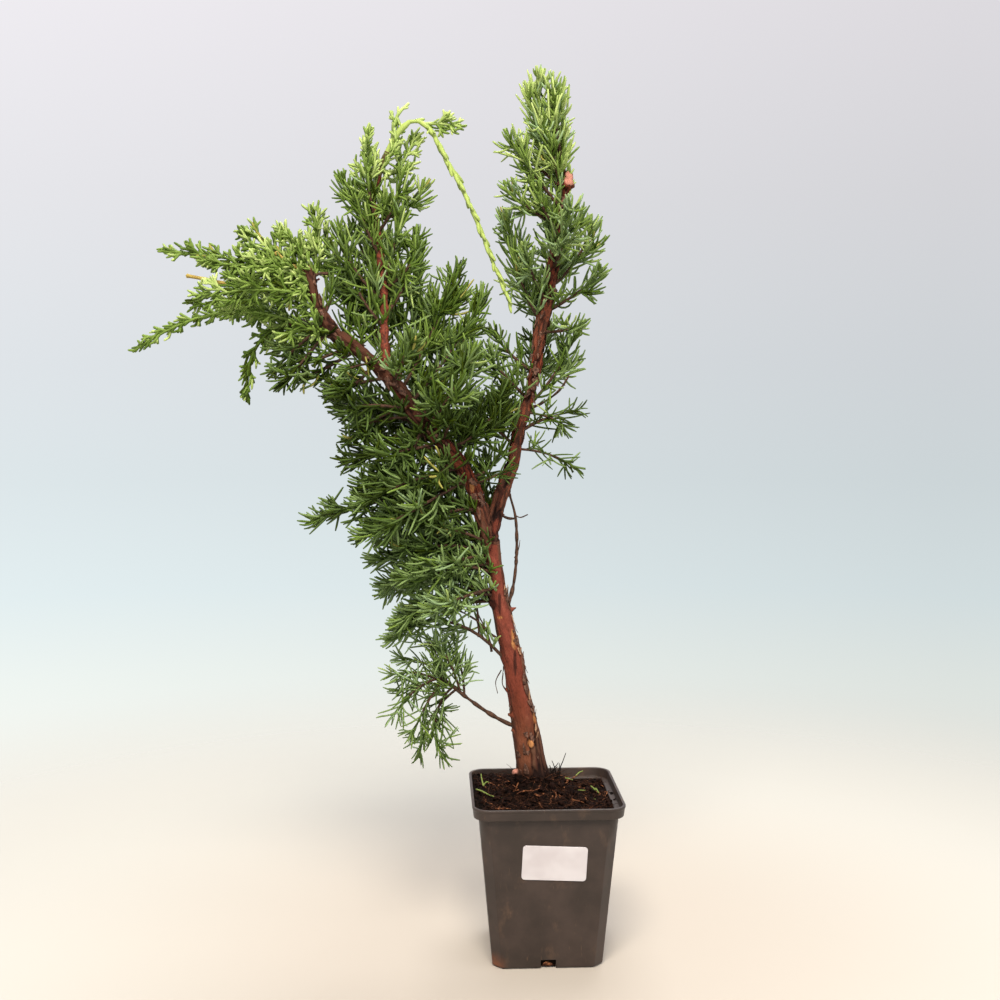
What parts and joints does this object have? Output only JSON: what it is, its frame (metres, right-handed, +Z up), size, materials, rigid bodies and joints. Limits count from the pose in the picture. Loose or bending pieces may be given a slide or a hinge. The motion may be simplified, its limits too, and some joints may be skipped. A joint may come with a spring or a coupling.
{
  "type": "potted juniper bonsai",
  "caption": "Young kishu juniper bonsai with a leaning trunk that forks into two limbs, sprays of needle foliage and a drooping leader, in a square nursery pot.",
  "frame": {"origin": "centre of the pot's flat underside, on the ground", "axes": "+Z up, -Y towards the viewer of the picture, the pot's sides along X and Y; the left limb reaches towards -X"},
  "size_m": [0.2913, 0.1136, 0.5342],
  "materials": {
    "pot_plastic": "satin",
    "label": "matte",
    "soil": "matte",
    "bark": "matte",
    "twig_bark": "matte",
    "lime_shoot": "matte",
    "foliage": "matte",
    "pale_foliage": "matte"
  },
  "bodies": {
    "root": {"dead_twig": "twig_bark", "drooping_shoot": "lime_shoot", "foliage_centre": "foliage", "foliage_centre_front": "foliage", "foliage_centre_left": "foliage", "foliage_centre_rear": "foliage", "foliage_centre_right": "foliage", "foliage_drooping_spray": "pale_foliage", "foliage_far_left_lower": "pale_foliage", "foliage_far_left_middle": "pale_foliage", "foliage_far_left_rear": "pale_foliage", "foliage_far_left_tail": "pale_foliage", "foliage_far_left_upper": "pale_foliage", "foliage_hanging_lower": "foliage", "foliage_hanging_middle": "foliage", "foliage_hanging_upper": "foliage", "foliage_left_crest": "foliage", "foliage_left_crest_middle": "pale_foliage", "foliage_left_inner": "foliage", "foliage_left_lower": "foliage", "foliage_left_lower_front": "foliage", "foliage_left_lower_rear": "foliage", "foliage_left_middle": "foliage", "foliage_left_middle_rear": "foliage", "foliage_left_shoulder": "foliage", "foliage_left_under": "foliage", "foliage_limb_under": "foliage", "foliage_lower": "foliage", "foliage_lower_front": "foliage", "foliage_lower_right": "foliage", "foliage_lower_right_tip": "foliage", "foliage_lower_under": "foliage", "foliage_middle_left": "foliage", "foliage_middle_rear": "foliage", "foliage_middle_right": "foliage", "foliage_top_left_plume": "foliage", "foliage_top_low_left": "foliage", "foliage_top_plume": "foliage", "foliage_upper_front": "foliage", "foliage_upper_left": "foliage", "foliage_upper_rear": "foliage", "foliage_upper_right": "foliage", "foliage_upper_right_low": "foliage", "foliage_upright_inner": "pale_foliage", "foliage_upright_left": "foliage", "foliage_upright_rear": "foliage", "foliage_upright_right": "foliage", "foliage_upright_tip": "pale_foliage", "foliage_upright_top": "pale_foliage", "foliage_upright_top_left": "foliage", "foliage_upright_top_right": "foliage", "left_limb": "bark", "left_side_bough": "bark", "low_branch": "twig_bark", "pot": "pot_plastic", "pot_label": "label", "right_limb": "bark", "soil": "soil", "trunk": "bark", "upright_shoot": "bark"}
  },
  "joints": []
}
